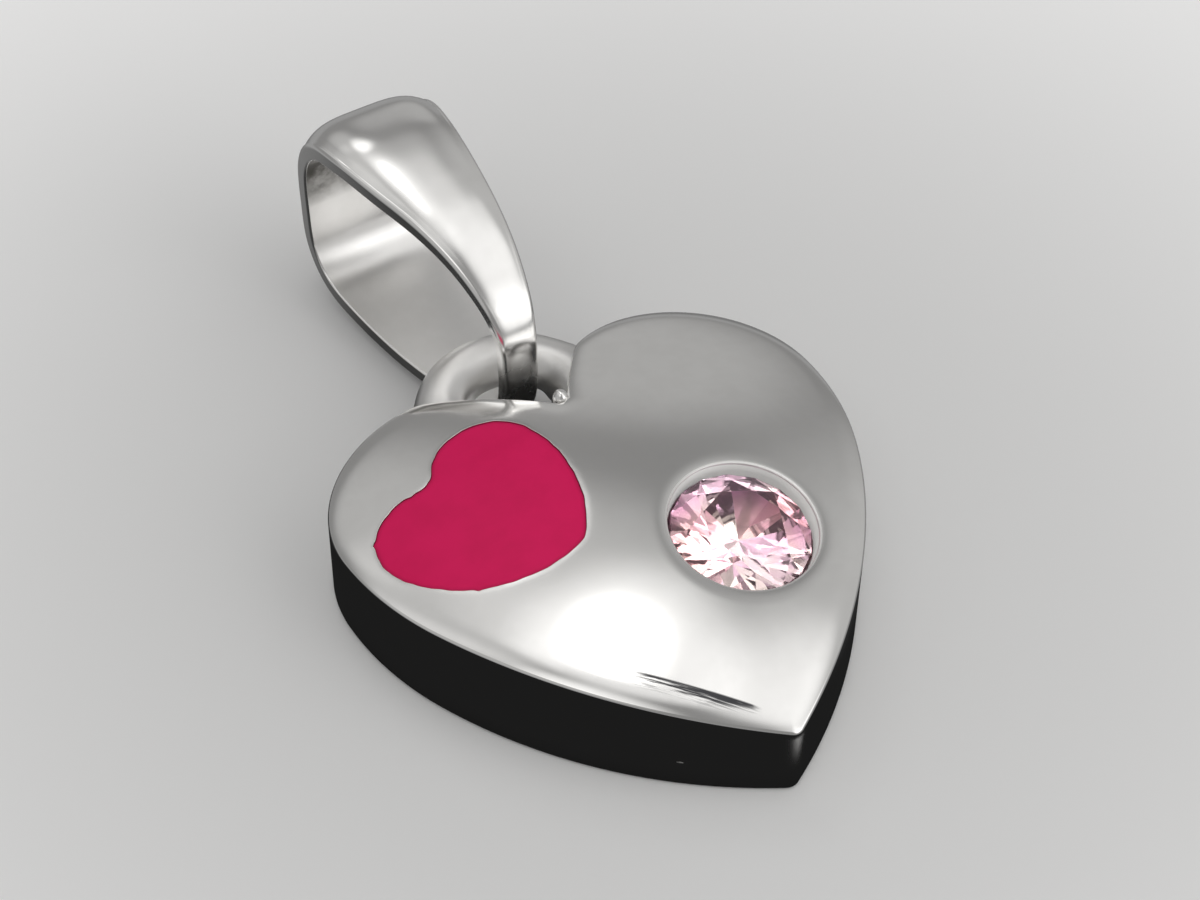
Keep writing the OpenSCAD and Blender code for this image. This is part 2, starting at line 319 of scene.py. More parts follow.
def enamel_at(p):
    """Height and direction of the enamel's face at points in plan."""
    d, out = nearest(p, ENAMEL_LINE, BED_OUT)
    drop, rise, sine = edge_drop(d, ENAMEL_EDGE)
    return dome_z(p, ENAMEL_SINK) - drop, edge_facing(sine, out, dome_slope(p) - rise[:, None] * out)


def inside(p, line):
    """Whether each point lies inside a closed line."""
    a, b = line, np.roll(line, -1, 0)
    result = np.zeros(len(p), bool)
    for i in range(0, len(p), CHUNK):
        q = p[i:i + CHUNK, None]
        cross = (a[None, :, 1] > q[..., 1]) != (b[None, :, 1] > q[..., 1])
        rise = np.where(b[:, 1] == a[:, 1], 1.0, b[:, 1] - a[:, 1])
        x = a[None, :, 0] + (q[..., 1] - a[None, :, 1]) * ((b[:, 0] - a[:, 0]) / rise)[None]
        result[i:i + CHUNK] = (cross & (q[..., 0] < x)).sum(1) % 2 == 1
    return result


def grid_inside(outer, holes, pitch, clear):
    """Points of a triangular grid that are inside a line, outside its holes and clear of both."""
    lo, hi = outer.min(0), outer.max(0)
    rows = []
    for i, y in enumerate(np.arange(lo[1], hi[1], pitch * math.sqrt(0.75))):
        x = np.arange(lo[0] + (i % 2) * pitch / 2, hi[0], pitch)
        rows.append(np.stack([x, np.full(len(x), y)], 1))
    p = np.concatenate(rows)
    keep = inside(p, outer)
    for h in holes:
        keep &= ~inside(p, h)
    p = p[keep]
    for line in [outer, *holes]:
        near = np.concatenate([
            ((q[:, None] - line[None]) ** 2).sum(-1).min(1)
            for q in np.array_split(p, max(1, len(p) // CHUNK))
        ])
        p = p[near > clear ** 2]
    return p


class Shell:
    """A mesh in the making: points, and faces with a direction at each of their corners."""

    def __init__(self):
        self.points, self.count, self.faces, self.normals, self.marks, self.satin = [], 0, [], [], [], []

    def add(self, points, mark=0.0, satin=0.0):
        """Adds points and returns their numbers. A mark says how much tarnish, darkening and painted shade
        they carry, satin how far they are from a full polish."""
        self.points.append(points)
        self.marks.append(np.broadcast_to(np.asarray(mark, float), (len(points),)))
        self.satin.append(np.broadcast_to(np.asarray(satin, float), (len(points),)))
        self.count += len(points)
        return np.arange(self.count - len(points), self.count)

    def places(self, ids):
        """Points by their numbers."""
        return np.concatenate(self.points)[ids]

    def faces_of(self, ids, normals):
        """Adds faces, rows of point numbers, with the directions at their corners."""
        self.faces += ids.tolist()
        self.normals += list(normals)

    def strips(self, rows, normals):
        """Four-sided faces between each closed row of points and the next."""
        for a, b, na, nb in zip(rows, rows[1:], normals, normals[1:]):
            ids = np.stack([a, np.roll(a, -1), np.roll(b, -1), b], 1)
            self.faces_of(ids, np.stack([na, np.roll(na, -1, 0), np.roll(nb, -1, 0), nb], 1))

    def fan(self, middle, loop, n_middle, n_loop):
        """Triangles from one point to a closed row."""
        ids = np.stack([np.full(len(loop), middle), loop, np.roll(loop, -1)], 1)
        n_middle = np.broadcast_to(n_middle, (len(loop), 3))
        self.faces_of(ids, np.stack([n_middle, n_loop, np.roll(n_loop, -1, 0)], 1))

    def fill(self, loops, lines, surface, pitch, mark=0.0):
        """Triangles between closed lines: the first is the outside, the others are holes.
        surface gives height and direction at points in plan."""
        grid = grid_inside(lines[0], lines[1:], pitch, pitch * 0.6)
        z, n_grid = surface(grid)
        ids = np.concatenate([*loops, self.add(np.column_stack([grid, z]), mark)])
        flat = np.concatenate([*lines, grid])
        normals = np.concatenate([*[surface(line)[1] for line in lines], n_grid])
        edges, first = [], 0
        for line in lines:
            m = len(line)
            edges += [(first + k, first + (k + 1) % m) for k in range(m)]
            first += m
        _, _, tris, origin, _, _ = delaunay_2d_cdt([Vector(p) for p in flat], edges, [], 0, 1e-7)
        tris = np.array([[origin[v][0] for v in t] for t in tris])
        middle = flat[tris].mean(1)
        keep = inside(middle, lines[0])
        for line in lines[1:]:
            keep &= ~inside(middle, line)
        tris = tris[keep]
        self.faces_of(ids[tris], normals[tris])

    def build(self, name):
        """Makes the object. Every face is turned so that it looks along its corners' directions."""
        points = np.concatenate(self.points) * MM
        faces, normals = [], []
        for f, n in zip(self.faces, self.normals):
            p = points[f]
            if len(f) == 4:
                facing = np.cross(p[2] - p[0], p[3] - p[1])
            else:
                facing = np.cross(p[1] - p[0], p[2] - p[0])
            if facing @ n.sum(0) < 0:
                f, n = f[::-1], n[::-1]
            faces.append(f)
            normals.append(n)
        mesh = bpy.data.meshes.new(name)
        mesh.from_pydata(points.tolist(), [], faces, shade_flat=False)
        flat = np.concatenate(normals).astype(np.float32)
        mesh.attributes.new("facing", "FLOAT_VECTOR", "CORNER").data.foreach_set("vector", flat.ravel())
        for label, values in (("crevice", self.marks), ("satin", self.satin)):
            flat = np.concatenate(values).astype(np.float32)
            mesh.attributes.new(label, "FLOAT", "POINT").data.foreach_set("value", flat)
        return place_object(name, mesh)


def place_object(name, data):
    """Puts a new object into the scene."""
    o = bpy.data.objects.new(name, data)
    bpy.context.scene.collection.objects.link(o)
    return o


def read_rows(items, part, width=1):
    """One number, or one vector of a width, of every item of a mesh, as rows."""
    values = np.empty(len(items) * width, np.float32)
    items.foreach_get(part, values)
    return values.reshape(-1, width)


def settle_normals(mesh):
    """Turns the stored direction of every corner into the mesh's own shading directions."""
    store = mesh.attributes["facing"]
    rows = read_rows(store.data, "vector", 3).astype(float)
    mesh.attributes.remove(store)
    mesh.normals_split_custom_set(unit(rows).tolist())


def edge_steps(edge, more):
    """Distances inside an edge at which its surface has rows of points."""
    r = edge[0]
    return [r * (1 - math.sin(math.radians(a))) for a in (90, 75, 60, 45, 30, 15, 0)] + list(more)


def crevice(d, reach, most):
    """Mark at a distance from a crevice."""
    return most * np.exp(-(d / reach) ** 2)


def add_edge(s, line, way, surface, edge, more, most):
    """Adds rows of points beside an edge, on the side that way points to, with the mark most at the edge.
    Returns the first row, the last one and the last one's line."""
    rows, normals = [], []
    for d in edge_steps(edge, more):
        beside = line + d * way
        z, n = surface(beside)
        rows.append(s.add(np.column_stack([beside, z]), crevice(d, MARK_REACH, most)))
        normals.append(n)
    s.strips(rows, normals)
    return rows[0], rows[-1], beside


# Heart body

def add_bed(s):
    """The enamel's bed: its edge, wall and floor. Returns the last row of the edge and that row's line."""
    more = (0.03, 0.055, 0.09, 0.14, 0.2)
    top, last, line = add_edge(s, BED_LINE, BED_OUT, face_at, BED_EDGE, more, MARK_BED_EDGE)
    inward = level(-BED_OUT)
    floor = s.add(np.column_stack([BED_LINE, dome_z(BED_LINE, BED_DEPTH)]), MARK_BED)
    s.strips([top, floor], [inward, inward])
    s.fill([floor], [BED_LINE], lambda p: (dome_z(p, BED_DEPTH), dome_facing(p)), BED_PITCH, MARK_BED)
    return last, line


def stone_frame():
    """Turn and place of the stone: its axis is the dome's direction there."""
    p = np.array([*STONE_AT, float(dome_z(STONE_AT[None])[0])])
    n = (p - DOME_C) / DOME_R
    tilt, turn = math.acos(n[2]), math.atan2(n[1], n[0])
    return np.array((Matrix.Rotation(turn, 3, "Z") @ Matrix.Rotation(tilt, 3, "Y"))), p


class StoneRings:
    """Rings of points round the stone's axis. Their heights count from the dome."""

    def __init__(self, shell, count=180):
        self.shell = shell
        self.turn, self.at = stone_frame()
        a = np.linspace(0, 2 * math.pi, count, endpoint=False)
        self.out = level(np.column_stack([np.cos(a), np.sin(a)]))

    def ring(self, radius, z, satin):
        """Adds a ring and returns the numbers of its points."""
        return self.shell.add((self.out * radius + UP * z) @ self.turn.T + self.at, 0.0, satin)

    def leaning(self, radial, axial):
        """Directions round a ring, with a share away from the axis and a share along it."""
        return unit(self.out * radial + UP * axial) @ self.turn.T


def add_seat_edge(rings):
    """Soft edge of the stone's seat. Returns its first row, its last row and the last row's line."""
    rows, normals = [], []
    for d in edge_steps(SEAT_EDGE, (0.06, 0.1, 0.15, 0.21, 0.28, 0.35, 0.42)):
        radius = SEAT_D / 2 + d
        drop, rise, sine = edge_drop(np.array(d), SEAT_EDGE)
        cosine = math.sqrt(1 - sine ** 2)
        slope = -radius / math.sqrt(DOME_R ** 2 - radius ** 2) + rise
        height = math.sqrt(DOME_R ** 2 - radius ** 2) - DOME_R - drop
        rows.append(rings.ring(radius, height, crevice(d, MARK_REACH, SATIN_SEAT_EDGE)))
        normals.append(rings.leaning(-slope * cosine - sine, cosine))
    rings.shell.strips(rows, normals)
    return rows[0], rows[-1], rings.shell.places(rows[-1])[:, :2]


def add_seat_hole(rings, mouth):
    """Wall and ledge of the stone's seat, and the cone under them for the stone's point."""
    s = rings.shell
    ledge = -(STONE_SINK + CROWN + GIRDLE + SEAT_GAP)
    bottom = ledge - PAVILION - SEAT_GAP
    cone_r = (STONE_D + 3 * SEAT_GAP) / 2
    point_r = SEAT_POINT_D / 2
    foot = rings.ring(SEAT_D / 2 - SEAT_LEAN, ledge, SATIN_SEAT_WALL)
    cone_top = rings.ring(cone_r, ledge, SATIN_SEAT_FLOOR)
    cone_foot = rings.ring(point_r, bottom, SATIN_SEAT_FLOOR)
    # The wall's shading looks up more than the wall does, as the bright crescent of the photograph asks
    s.strips([mouth, foot], [rings.leaning(-0.5, 0.87), rings.leaning(-0.75, 0.66)])
    s.strips([foot, cone_top], [rings.leaning(0, 1)] * 2)
    s.strips([cone_top, cone_foot], [rings.leaning(bottom - ledge, cone_r - point_r)] * 2)
    end = s.add((UP * bottom)[None] @ rings.turn.T + rings.at, 0.0, SATIN_SEAT_FLOOR)
    s.fan(end[0], cone_foot, rings.turn @ UP, rings.leaning(0, 1))


def add_wall(s, top):
    """Upright wall below the rim, its rounded foot and the flat back. The tip's corner is worn."""
    out = level(BODY_OUT)
    top_z = s.places(top)[:, 2]
    at_tip = SATIN_TIP * np.exp(-(BODY_LINE[:, 0] / 0.16) ** 2) * (BODY_LINE[:, 1] < 0)
    rows, normals = [top], [out]
    # The wall is made darker towards its foot, and its rounded foot and the back are marked darker too
    for share in np.linspace(0, 1, 13)[1:]:
        z = top_z + share * (FOOT_R - top_z)
        marked = at_tip * np.clip(z - 0.6, 0, 1)
        rows.append(s.add(np.column_stack([BODY_LINE, z]), crevice(z, 0.3, MARK_WALL), marked))
        normals.append(out)
    for a in (22.5, 45, 67.5, 90):
        c, sn = math.cos(math.radians(a)), math.sin(math.radians(a))
        line = BODY_LINE - FOOT_R * (1 - c) * BODY_OUT
        rows.append(s.add(np.column_stack([line, np.full(len(line), FOOT_R * (1 - sn))]), MARK_FOOT))
        normals.append(out * c - UP * sn)
    s.strips(rows, normals)
    s.fill([rows[-1]], [line], lambda p: (np.zeros(len(p)), np.tile(-UP, (len(p), 1))), BACK_PITCH, MARK_BACK)


def heart_shell():
    """The cast heart, without its eyelet."""
    s = Shell()
    top, rim, rim_line = add_edge(s, BODY_LINE, -BODY_OUT, face_at, RIM, (0.07, 0.1, 0.15, 0.2), 0.0)
    bed, bed_line = add_bed(s)
    rings = StoneRings(s)
    mouth, seat, seat_line = add_seat_edge(rings)
    add_seat_hole(rings, mouth)
    s.fill([rim, bed, seat], [rim_line, bed_line, seat_line], face_at, FACE_PITCH)
    add_wall(s, top)
    return s


def eyelet_shell(around=200, section=56):
    """The round wire. It thickens where solder draws it to the lobes' walls."""
    s = Shell()
    a = np.linspace(0, 2 * math.pi, around, endpoint=False)
    out = np.column_stack([np.cos(a), np.sin(a)])
    d, _ = nearest(EYELET_C[:2] + EYELET_R * out, BODY_LINE, BODY_OUT)
    swell = 0.1 * np.exp(-((d + 0.1) / 0.42) ** 2)
    dark = crevice(d + 0.05, 0.35, MARK_EYELET)
    b = np.linspace(0, 2 * math.pi, section, endpoint=False)
    rings, normals = [], []
    for e, swollen, mark in zip(level(out), swell, dark):
        n = np.cos(b)[:, None] * e + np.sin(b)[:, None] * UP
        rings.append(s.add(EYELET_C + EYELET_R * e + n * (WIRE_R + swollen), mark, SATIN_EYELET))
        normals.append(n)
    s.strips([*rings, rings[0]], [*normals, normals[0]])
    return s


def ball_shell(centre, radii, tarnish_and_shade, satin):
    """A drop of solder."""
    s = Shell()
    rows, around = 40, 64
    b = np.linspace(0, 2 * math.pi, around, endpoint=False)
    loops, normals = [], []
    for k in range(1, rows):
        a = math.pi * k / rows
        u = np.column_stack([math.sin(a) * np.cos(b), math.sin(a) * np.sin(b), np.full(around, math.cos(a))])
        loops.append(s.add(centre + u * radii, tarnish_and_shade, satin))
        normals.append(unit(u / radii))
    s.strips(loops, normals)
    for pole, loop, n in ((UP, loops[0], normals[0]), (-UP, loops[-1], normals[-1])):
        tip = s.add((centre + pole * radii)[None], tarnish_and_shade, satin)
        s.fan(tip[0], loop, pole, n)
    return s


def join_solids(base, others):
    """Unites closed meshes into one. The union keeps the direction stored at each corner, and each point
    takes its mark and satin again from the nearest point that there was before."""
    meshes = [base.data] + [other.data for other in others]
    places = np.concatenate([read_rows(mesh.vertices, "co", 3) for mesh in meshes])
    tree = KDTree(len(places))
    for k, place in enumerate(places):
        tree.insert(place, k)
    tree.balance()
    kept = {}
    for name in ("crevice", "satin"):
        values = [read_rows(mesh.attributes[name].data, "value") for mesh in meshes]
        kept[name] = np.concatenate(values)[:, 0]
    for other in others:
        m = base.modifiers.new("union", "BOOLEAN")
        m.operation, m.solver, m.object = "UNION", "EXACT", other
    bpy.context.view_layer.update()
    evaluated = base.evaluated_get(bpy.context.evaluated_depsgraph_get())
    whole = bpy.data.meshes.new_from_object(evaluated)
    base.modifiers.clear()
    base.data = whole
    source = np.array([tree.find(v.co)[1] for v in whole.vertices])
    for name, values in kept.items():
        whole.attributes[name].data.foreach_set("value", values[source])
    for other in others:
        bpy.data.objects.remove(other)


def make_heart_body():
    """The heart with its soldered eyelet, one solid."""
    o = heart_shell().build("heart_silver")
    solder = ball_shell(SOLDER_C, SOLDER_R, MARK_SOLDER, SATIN_SOLDER)
    bead = ball_shell(BEAD_C, BEAD_R, 0.0, SATIN_BEAD)
    parts = [(eyelet_shell(), "eyelet_part"), (solder, "solder_part"), (bead, "bead_part")]
    join_solids(o, [shell.build(name) for shell, name in parts])
    settle_normals(o.data)
    return o


# Enamel

def make_enamel():
    """The enamel heart, which fills its bed to just below the metal."""
    s = Shell()
    more = (0.03, 0.06, 0.1, 0.14, 0.19, 0.23)
    top, last, line = add_edge(s, ENAMEL_LINE, -BED_OUT, enamel_at, ENAMEL_EDGE, more, MARK_ENAMEL_EDGE)
    s.fill([last], [line], enamel_at, ENAMEL_PITCH)
    depth = BED_DEPTH - ENAMEL_FOOT
    out = level(BED_OUT)
    base = s.add(np.column_stack([ENAMEL_LINE, dome_z(ENAMEL_LINE, depth)]), MARK_BED)
    s.strips([top, base], [out, out])
    s.fill([base], [ENAMEL_LINE], lambda p: (dome_z(p, depth), -dome_facing(p)), BED_PITCH, MARK_BED)
    o = s.build("enamel_crimson")
    settle_normals(o.data)
    return o


# Stone

def brilliant_points():
    """Corners of the facets, in rings from the table down to the point."""
    r = STONE_D / 2
    table_r, star_r, lower_r = r * TABLE_SHARE, r * STAR_SHARE, r * LOWER_SHARE
    step = math.pi / MAINS
    top = GIRDLE / 2
    star_z = top + CROWN * (r - star_r * math.cos(step)) / (r - table_r)
    lower_z = -top - PAVILION * (1 - lower_r * math.cos(step) / r)

    def ring(radius, z, shift, count):
        a = (np.arange(count) + shift) * 2 * math.pi / count
        return np.column_stack([radius * np.cos(a), radius * np.sin(a), np.full(count, z)])

    return np.concatenate([
        ring(table_r, top + CROWN, 0, MAINS), ring(star_r, star_z, 0.5, MAINS),
        ring(r, top, 0, 2 * MAINS), ring(r, -top, 0, 2 * MAINS),
        ring(lower_r, lower_z, 0.5, MAINS), [[0, 0, -top - PAVILION]],
    ])


def brilliant_faces():
    """Facets: table, stars, mains and halves above the girdle, the girdle, then halves and mains below it."""
    star, upper, under, lower, point = (k * MAINS for k in (1, 2, 4, 6, 7))
    faces = [list(range(MAINS))]
    for i in range(MAINS):
        j, h, g = (i + 1) % MAINS, (i + MAINS - 1) % MAINS, 2 * i
        g1, g2 = g + 1, (g + 2) % (2 * MAINS)
        faces += [
            [j, i, star + i], [star + i, i, star + h, upper + g],
            [upper + g1, star + i, upper + g], [upper + g2, star + i, upper + g1],
            [upper + g1, upper + g, under + g, under + g1], [upper + g2, upper + g1, under + g1, under + g2],
            [under + g1, under + g, lower + i], [under + g2, under + g1, lower + i],
            [lower + i, under + g, lower + h, point],
        ]
    return faces


def make_stone():
    """The round brilliant in its seat. Each facet carries a random tint."""
    turn, at = stone_frame()
    spin = np.array(Matrix.Rotation(math.radians(STONE_SPIN), 3, "Z"))
    points = brilliant_points() @ spin.T - UP * (STONE_SINK + CROWN + GIRDLE / 2)
    points = (points @ turn.T + at) * MM
    faces = brilliant_faces()
    mesh = bpy.data.meshes.new("stone_pink")
    mesh.from_pydata(points.tolist(), [], faces, shade_flat=True)
    tint = mesh.attributes.new("facet", "FLOAT", "FACE")
    rng = np.random.default_rng(STONE_SEED)
    tint.data.foreach_set("value", rng.random(len(faces)).astype(np.float32))
    return place_object("stone_pink", mesh)


# Bail

def bail_path(steps):
    """Smooth closed curve through the rows, with a number of steps from each row to the next."""
    b = BAIL_ROWS
    a, c, d = np.roll(b, 1, 0), np.roll(b, -1, 0), np.roll(b, -2, 0)
    t = (np.arange(steps) / steps)[None, :, None]
    a, b, c, d = (v[:, None] for v in (a, b, c, d))
    curve = b + 0.5 * t * ((c - a) + t * ((2 * a - 5 * b + 4 * c - d) + t * (3 * b - a - 3 * c + d)))
    return curve.reshape(-1, 3)


def band_section(width):
    """Closed section of the band at one width: crowned outside, flat inside, with rounded edges.
    Rows of [across, outwards]."""
    half = width / 2
    crown = BAIL_CROWN * width * width / BAIL_ROWS[:, 2].max()
    s = np.linspace(-1, 1, 2 * BAND_MIDDLE + 1) * (half - BAIL_OUTER_R)
    outer = np.column_stack([s, BAIL_EDGE + crown * (1 - (s / half) ** 4)])
    shoulder = np.array([half - BAIL_OUTER_R, outer[-1, 1] - BAIL_OUTER_R])
    corner = shoulder + BAIL_OUTER_R * ray(np.linspace(90, 0, 8))[1:]
    low = np.array([half - BAIL_INNER_R, BAIL_INNER_R]) + BAIL_INNER_R * ray(np.linspace(0, -90, 6))
    side = np.concatenate([corner, low])
    s = np.linspace(1, -1, 13)[1:-1] * (half - BAIL_INNER_R)
    inner = np.column_stack([s, np.zeros(len(s))])
    return np.concatenate([outer, side, inner, (side * [-1, 1])[::-1]])


def band_rings(path):
    """Points of the band, a ring of them for each place on the path."""
    tangent = np.roll(path, -1, 0) - np.roll(path, 1, 0)
    out = unit(np.column_stack([-tangent[:, 1], tangent[:, 0]]))
    rings = []
    for (y, z, width), o in zip(path, out):
        across, outwards = band_section(width).T
        rings.append(np.column_stack([BAIL_X + across, y + o[0] * outwards, z + o[1] * outwards]))
    return np.array(rings)


def band_normals(rings, path):
    """Outward direction at each of the band's points."""
    along = np.roll(rings, -1, 0) - np.roll(rings, 1, 0)
    across = np.roll(rings, -1, 1) - np.roll(rings, 1, 1)
    normals = unit(np.cross(along, across))
    middle = np.array([BAIL_X, path[:, 0].mean(), path[:, 1].mean()])
    if normals[0, BAND_MIDDLE] @ (rings[0, BAND_MIDDLE] - middle) < 0:
        normals = -normals
    return normals


def lean_leg(normals, path, within):
    """Leans the shading of the front leg's outside towards the heart's tip, so that it mirrors what the
    photographed leg does."""
    bend = np.interp(path[:, 0], *LEG_LEAN.T) * np.clip((path[:, 1] - LEG_Z) / BLEND, 0, 1)
    bend = np.where(within[None], 0.0, np.radians(bend)[:, None])
    c, sn = np.cos(bend), np.sin(bend)
    y, z = normals[..., 1].copy(), normals[..., 2].copy()
    normals[..., 1], normals[..., 2] = y * c - z * sn, y * sn + z * c


def make_bail():
    """The folded band. It carries painted shade within the fold and outside at the front leg's foot, and is
    duller inside."""
    s = Shell()
    path = bail_path(12)
    rings = band_rings(path)
    normals = band_normals(rings, path)
    y, z = path[:, 0], path[:, 1]
    within = np.zeros(rings.shape[1], bool)
    within[BAND_INSIDE] = True
    # Painted shade inside the top of the fold and outside at the front leg's foot
    fold_shade = crevice(y - FOLD_Y, BLEND, MARK_FOLD_SHADE) * np.clip((z - FOLD_Z) / BLEND, 0, 1)
    foot = MARK_BAND_FOOT_SHADE * np.clip((LEG_Z - z) / BLEND, 0, 1) * (y < LEG_FOOT_Y)
    deep = SATIN_BAND_DEEP * np.clip(FOLD_Y - 0.5 - y, 0, 1)
    dull = np.where(within, SATIN_BAND_INSIDE + deep[:, None], SATIN_BAND)
    ids = [s.add(r, np.where(within, f, g), d) for r, f, g, d in zip(rings, fold_shade, foot, dull)]
    lean_leg(normals, path, within)
    s.strips([*ids, ids[0]], [*normals, normals[0]])
    o = s.build("bail_silver")
    settle_normals(o.data)
    return o


# Materials

class Tree:
    """Short way to write a node tree. Inputs are set by name or number, with a value or a node's socket."""

    def __init__(self, owner):
        owner.use_nodes = True
        self.tree = owner.node_tree
        self.tree.nodes.clear()

    def __call__(self, kind, inputs=None, **settings):
        node = self.tree.nodes.new(kind)
        for key, value in settings.items():
            setattr(node, key, value)
        for key, value in (inputs or {}).items():
            if isinstance(value, bpy.types.NodeSocket):
                self.tree.links.new(value, node.inputs[key])
            else:
                node.inputs[key].default_value = value
        return node

    def math(self, operation, a, b):
        return self("ShaderNodeMath", {0: a, 1: b}, operation=operation).outputs[0]

    def add(self, a, b):
        return self.math("ADD", a, b)

    def times(self, a, b):
        return self.math("MULTIPLY", a, b)

    def vector(self, operation, a, b=(0, 0, 0)):
        """Works with vectors, and gives a vector, or a number where it is a length or a dot product."""
        node = self("ShaderNodeVectorMath", {0: a, 1: b}, operation=operation)
        return node.outputs["Value" if operation in ("LENGTH", "DOT_PRODUCT") else "Vector"]

    def attribute(self, name):
        """A value stored with the mesh."""
        return self("ShaderNodeAttribute", attribute_name=name).outputs["Fac"]

    def noise(self, vector, scale, detail=2.0, rough=0.5):
        inputs = {"Vector": vector, "Scale": scale, "Detail": detail, "Roughness": rough}
        return self("ShaderNodeTexNoise", inputs).outputs["Fac"]

    def span(self, value, low, high, to_low=0.0, to_high=1.0):
        """A value from low to high mapped smoothly to another span, and held at its ends."""
        inputs = {"Value": value, "From Min": low, "From Max": high, "To Min": to_low, "To Max": to_high}
        return self("ShaderNodeMapRange", inputs, interpolation_type="SMOOTHSTEP").outputs["Result"]

    def mix(self, factor, a, b):
        """Two colours mixed."""
        return self("ShaderNodeMix", {0: factor, 6: a, 7: b}, data_type="RGBA").outputs[2]

    def millimetres(self):
        """Place on the piece, in millimetres."""
        place = self("ShaderNodeTexCoord").outputs["Object"]
        return self("ShaderNodeVectorMath", {0: place, "Scale": 1 / MM}, operation="SCALE").outputs[0]

    def stretched(self, vector, scale, turn=0.0):
        inputs = {"Vector": vector, "Rotation": (0, 0, math.radians(turn)), "Scale": scale}
        return self("ShaderNodeMapping", inputs).outputs[0]

    def bump(self, height, distance_mm, strength, under=None):
        inputs = {"Height": height, "Distance": distance_mm * MM, "Strength": strength}
        if under is not None:
            inputs["Normal"] = under
        return self("ShaderNodeBump", inputs).outputs["Normal"]

    def glow(self, strength):
        """White light of a strength."""
        return self("ShaderNodeEmission", {"Color": (1, 1, 1, 1), "Strength": strength}).outputs[0]

    def surface(self, inputs):
        """The material's own surface."""
        shader = self("ShaderNodeBsdfPrincipled", inputs)
        self("ShaderNodeOutputMaterial", {"Surface": shader.outputs[0]})


SILVER_BRIGHT, SILVER_GREY = (0.92, 0.912, 0.9, 1), (0.895, 0.887, 0.873, 1)
TARNISH_AND_SHADE = (0.12, 0.115, 0.105, 1)
# Dark streaked mark on the face near the tip: its place, its turn and its colour
DARK_MARK_AT, DARK_MARK_TURN, DARK_MARK_COLOUR = (-1.2, -7.04, 0), 44, (0.07, 0.07, 0.075, 1)
# Small level nick in the wall near the tip
NICK_AT = (-1.98, -6.99, 0.77)


def dark_mark(t, mm):
    """Share of the dark mark at a place. It has a sharp upper edge, fades at both ends and is made of fine
    streaks."""
    near = t.stretched(t.vector("SUBTRACT", mm, DARK_MARK_AT), (1, 1, 0), DARK_MARK_TURN)
    axes = t("ShaderNodeSeparateXYZ", {0: near})
    along, across = axes.outputs[0], axes.outputs[1]
    strong = t.times(t.span(along, -1.2, -0.3), t.span(along, 0.55, 0.85, 1.0, 0.0))
    faint = t.times(t.span(along, -1.9, -1.4), t.span(along, 0.7, 0.95, 1.0, 0.0))
    taper = t.math("SUBTRACT", across, t.span(along, -0.2, 0.9, 0.0, 0.16))
    aside = t.times(t.span(across, 0.12, 0.16, 1.0, 0.0), t.span(taper, -0.24, -0.02))
    streak = t.noise(t.stretched(near, (0.9, 21, 1)), 1.0, 3.0, 0.65)
    amount = t.add(streak, t.times(t.times(strong, aside), 0.12))
    amount = t.add(amount, t.span(across, -0.02, 0.12, 0.0, 0.12))
    return t.times(t.times(faint, aside), t.span(amount, 0.46, 0.66))


def silver(name, with_dark_mark=False):
    """Polished silver: slow waves left by hand polishing, fine scratches, tarnish in the crevices and painted
    shade in the bail's fold and at its front leg's foot.
    """
    m = bpy.data.materials.new(name)
    t = Tree(m)
    mm = t.millimetres()
    wave = t.noise(mm, 0.45, 1.0)
    cloud = t.noise(mm, 1.6, 4.0, 0.6)
    grain = t.noise(mm, 14.0, 3.0, 0.6)
    hair_a = t.noise(t.stretched(mm, (3, 60, 3), 28), 1.0, 2.0, 0.7)
    hair_b = t.noise(t.stretched(mm, (50, 2.5, 2.5), -12), 1.0, 2.0, 0.7)
    scratches = t.add(t.span(hair_a, 0.62, 0.75), t.span(hair_b, 0.64, 0.78))
    # The marks darken and dull the silver: tarnish in the crevices, darkening towards the wall's foot, and
    # painted shade in the bail's fold and at its front leg's foot
    tarnish_and_shade = t.times(t.attribute("crevice"), t.span(cloud, 0.3, 0.65, 0.55, 1.0))
    colour = t.mix(tarnish_and_shade, t.mix(t.span(cloud, 0.35, 0.7), SILVER_BRIGHT, SILVER_GREY), TARNISH_AND_SHADE)
    rough = t.add(t.span(cloud, 0.3, 0.7, 0.11, 0.135), t.times(scratches, 0.04))
    rough = t.add(rough, t.times(tarnish_and_shade, 0.2))
    rough = t.add(rough, t.attribute("satin"))
    height = t.add(t.times(grain, 0.05), t.times(scratches, -0.05))
    if with_dark_mark:
        # A dark streaked mark near the tip, which also roughens the silver and sinks it a little
        marked = dark_mark(t, mm)
        colour = t.mix(marked, colour, DARK_MARK_COLOUR)
        rough = t.add(rough, t.times(marked, 0.25))
        height = t.math("SUBTRACT", height, t.times(marked, 0.4))
        nick = t.vector("LENGTH", t.stretched(t.vector("SUBTRACT", mm, NICK_AT), (1, 1, 3)))
        rough = t.add(rough, t.span(nick, 0.05, 0.1, 0.55, 0.0))
    fine = t.bump(height, 0.004, 0.5, t.bump(wave, 0.03, 0.35))
    t.surface({"Base Color": colour, "Metallic": 1.0, "Roughness": rough, "Normal": fine})
    return m


CRIMSON, CRIMSON_LIGHT = (0.78, 0.0095, 0.115, 1), (0.84, 0.012, 0.13, 1)
CRIMSON_EDGE = (0.25, 0.006, 0.04, 1)


